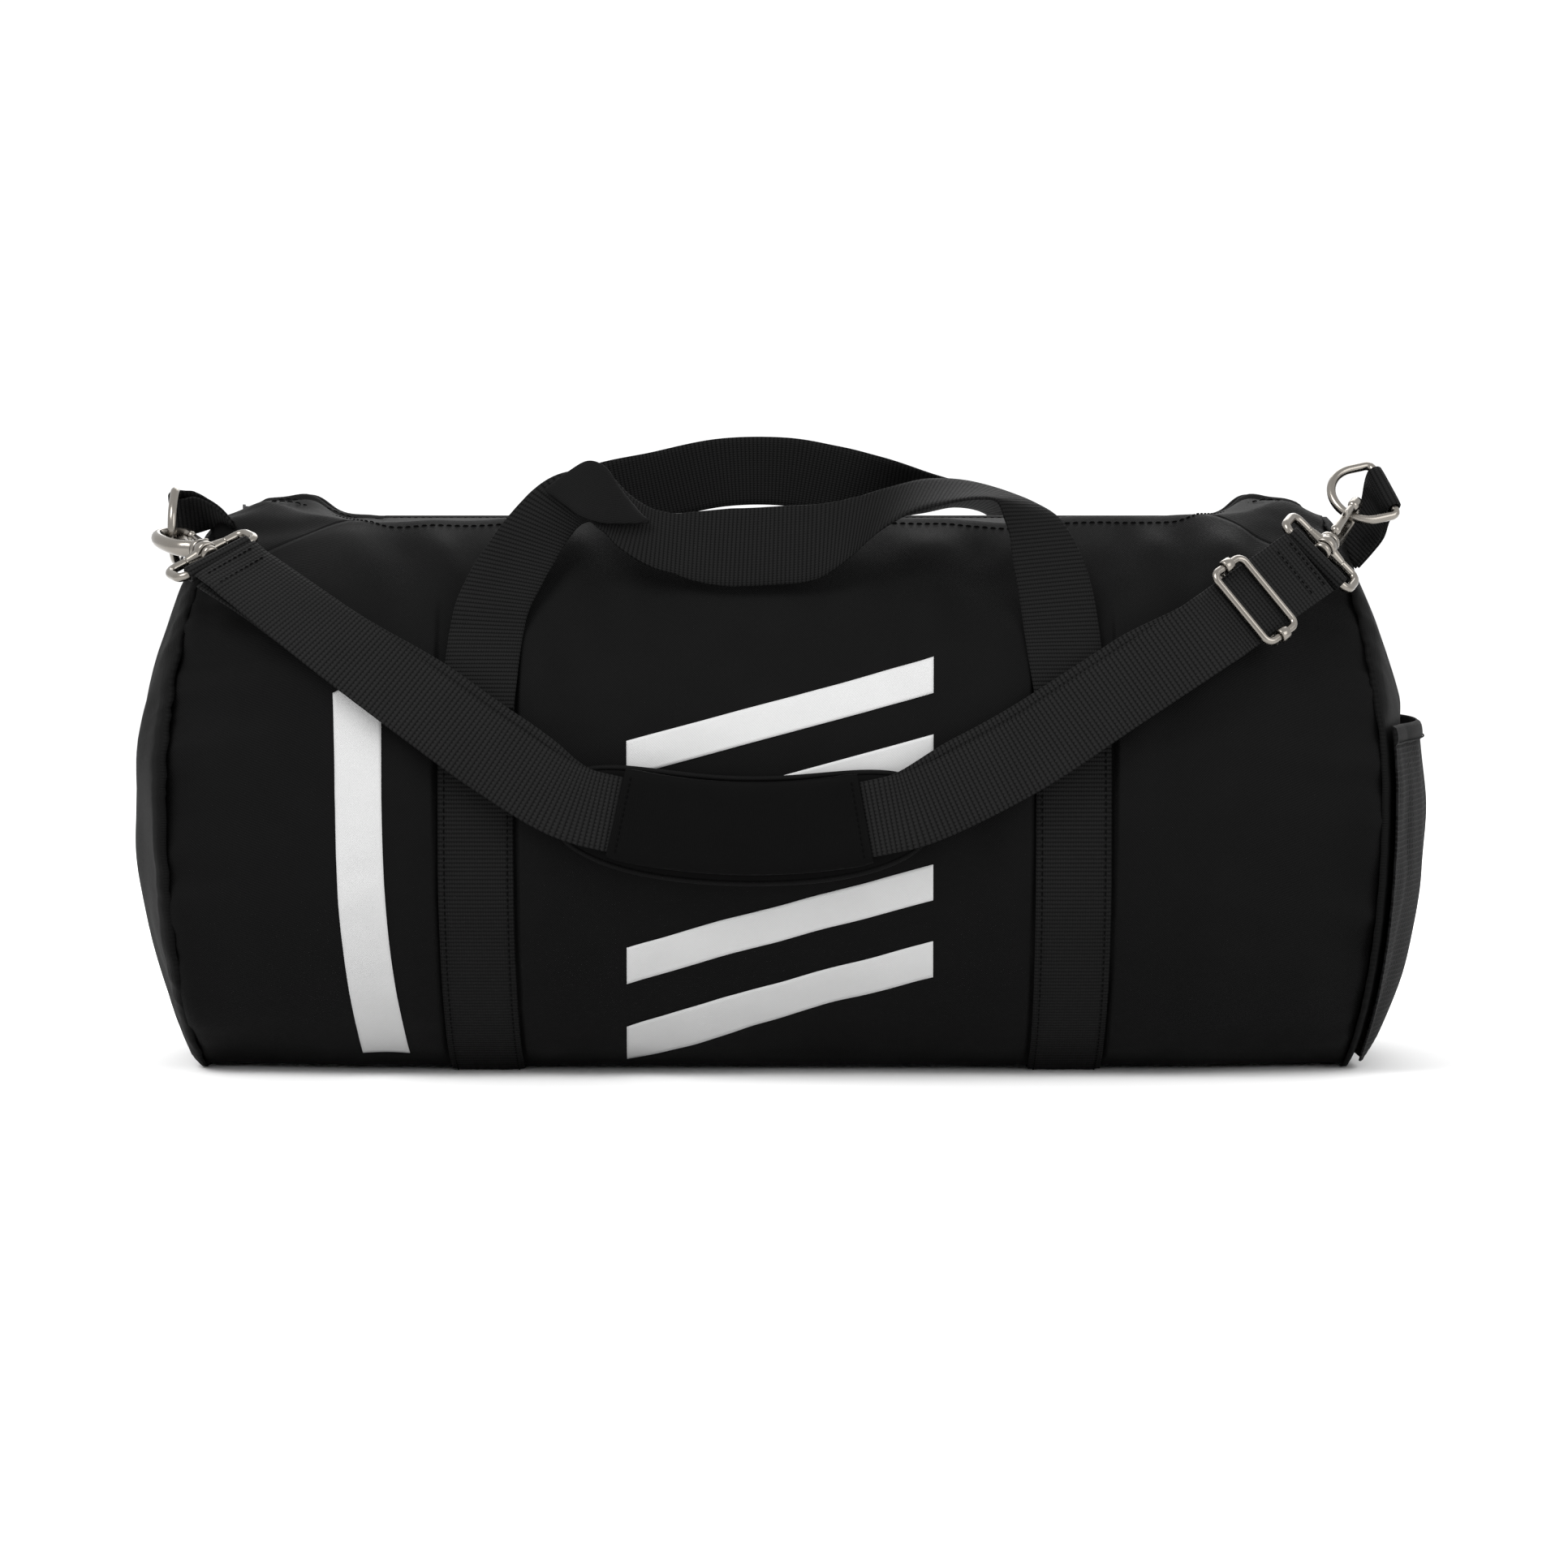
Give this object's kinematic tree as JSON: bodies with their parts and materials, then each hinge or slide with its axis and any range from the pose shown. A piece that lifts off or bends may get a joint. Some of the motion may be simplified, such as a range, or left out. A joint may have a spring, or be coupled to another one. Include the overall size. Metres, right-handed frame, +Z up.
{
  "type": "duffel bag",
  "caption": "Soft barrel duffel bag with round ends, a zipped top mouth, webbing carry handles, an end mesh pocket and a clip-on padded shoulder strap.",
  "frame": {"origin": "middle of the flat underside, on the surface the bag stands on", "axes": "+Z up, +X along the bag to the end with the mesh pocket, -Y to the side that the shoulder strap hangs on"},
  "size_m": [0.5742, 0.2892, 0.2862],
  "materials": {
    "shell_fabric": "plain woven polyester, matt",
    "webbing": "ribbed polypropylene webbing",
    "pad_fabric": "smooth matt cloth over foam",
    "mesh": "open knitted mesh",
    "zip_black": "black nylon coil and tape",
    "slider_metal": "black lacquered zinc",
    "nickel": "satin nickel plate"
  },
  "bodies": {
    "bag_body": {"main_panel": "shell_fabric", "left_zip_facing": "shell_fabric", "right_zip_facing": "shell_fabric", "left_end_panel": "shell_fabric", "right_end_panel": "shell_fabric", "mesh_pocket_panel": "mesh", "mesh_pocket_binding": "webbing", "left_seam_binding": "webbing", "right_seam_binding": "webbing", "left_zip_end": "zip_black", "right_zip_end": "zip_black", "left_band": "webbing", "right_band": "webbing", "left_tab_base": "webbing", "right_tab_base": "webbing"},
    "front_flap_body": {"front_flap": "shell_fabric", "zip_tape_front": "zip_black", "zip_teeth_front": "zip_black"},
    "back_flap_body": {"back_flap": "shell_fabric", "zip_tape_back": "zip_black", "zip_teeth_back": "zip_black"},
    "slider": {"zip_slider": "slider_metal"},
    "puller": {"zip_puller": "slider_metal"},
    "front_handle_body": {"front_handle": "webbing"},
    "back_handle_body": {"back_handle": "webbing"},
    "strap": {"strap_webbing": "webbing", "strap_return_layer": "webbing", "strap_left_turn": "webbing", "strap_right_turn": "webbing", "strap_right_tail": "webbing", "left_d_ring": "nickel", "right_d_ring": "nickel", "left_tab_loop": "webbing", "right_tab_loop": "webbing", "left_hook_loop": "nickel", "right_hook_loop": "nickel"},
    "left_claw": {"left_hook_claw": "nickel"},
    "left_gate": {"left_hook_gate": "nickel"},
    "right_claw": {"right_hook_claw": "nickel"},
    "right_gate": {"right_hook_gate": "nickel"},
    "adjuster": {"adjuster_frame": "nickel", "adjuster_bar": "nickel", "strap_end_turn": "webbing"},
    "pad": {"pad_base": "pad_fabric", "pad_sleeve": "pad_fabric"}
  },
  "joints": [
    {"name": "zip_slide", "type": "slide", "parent": "bag_body", "child": "slider", "axis": [1, 0, 0], "range_m": [0, 0.43]},
    {"name": "puller_flip", "type": "hinge", "parent": "slider", "child": "puller", "pos_m": [-0.215, 0, 0.2475], "axis": [0, 1, 0], "range_deg": [0, 150]},
    {"name": "front_flap_open", "type": "hinge", "parent": "bag_body", "child": "front_flap_body", "pos_m": [0, -0.0618, 0.243], "axis": [1, 0, 0], "range_deg": [0, 100]},
    {"name": "back_flap_open", "type": "hinge", "parent": "bag_body", "child": "back_flap_body", "pos_m": [0, 0.0618, 0.243], "axis": [-1, 0, 0], "range_deg": [0, 100]},
    {"name": "front_handle_swing", "type": "hinge", "parent": "bag_body", "child": "front_handle_body", "pos_m": [0, -0.1197, 0.1965], "axis": [1, 0, 0], "range_deg": [0, 85]},
    {"name": "back_handle_swing", "type": "hinge", "parent": "bag_body", "child": "back_handle_body", "pos_m": [0, 0.1197, 0.1965], "axis": [-1, 0, 0], "range_deg": [0, 85]},
    {"name": "strap_swing", "type": "hinge", "parent": "bag_body", "child": "strap", "pos_m": [-0.268, -0.034, 0.245], "axis": [-0.9998, 0.0112, -0.0187], "range_deg": [0, 90]},
    {"name": "left_hook_swivel", "type": "hinge", "parent": "strap", "child": "left_claw", "pos_m": [-0.243, -0.0915, 0.2245], "axis": [-0.5528, 0.8053, 0.2144], "range_deg": [-25, 25]},
    {"name": "left_gate_open", "type": "hinge", "parent": "left_claw", "child": "left_gate", "pos_m": [-0.25205, -0.07063, 0.23006], "axis": [0, -0.2573, 0.9663], "range_deg": [0, 25], "stiffness_Nm_per_rad": 0.02, "springref_deg": -11.46},
    {"name": "right_hook_swivel", "type": "hinge", "parent": "strap", "child": "right_claw", "pos_m": [0.22983, -0.09252, 0.22455], "axis": [0.4034, 0.8301, 0.385], "range_deg": [-25, 25]},
    {"name": "right_gate_open", "type": "hinge", "parent": "right_claw", "child": "right_gate", "pos_m": [0.24035, -0.07569, 0.23697], "axis": [-0.8703, 0.2182, 0.4415], "range_deg": [0, 25], "stiffness_Nm_per_rad": 0.02, "springref_deg": -11.46},
    {"name": "adjuster_slide", "type": "slide", "parent": "strap", "child": "adjuster", "axis": [0.6873, 0.5795, 0.438], "range_m": [0, 0.012]},
    {"name": "pad_slide", "type": "hinge", "parent": "strap", "child": "pad", "pos_m": [-0.012, -0.15, 0.371], "axis": [0, 1, 0], "range_deg": [-2, 2]}
  ]
}
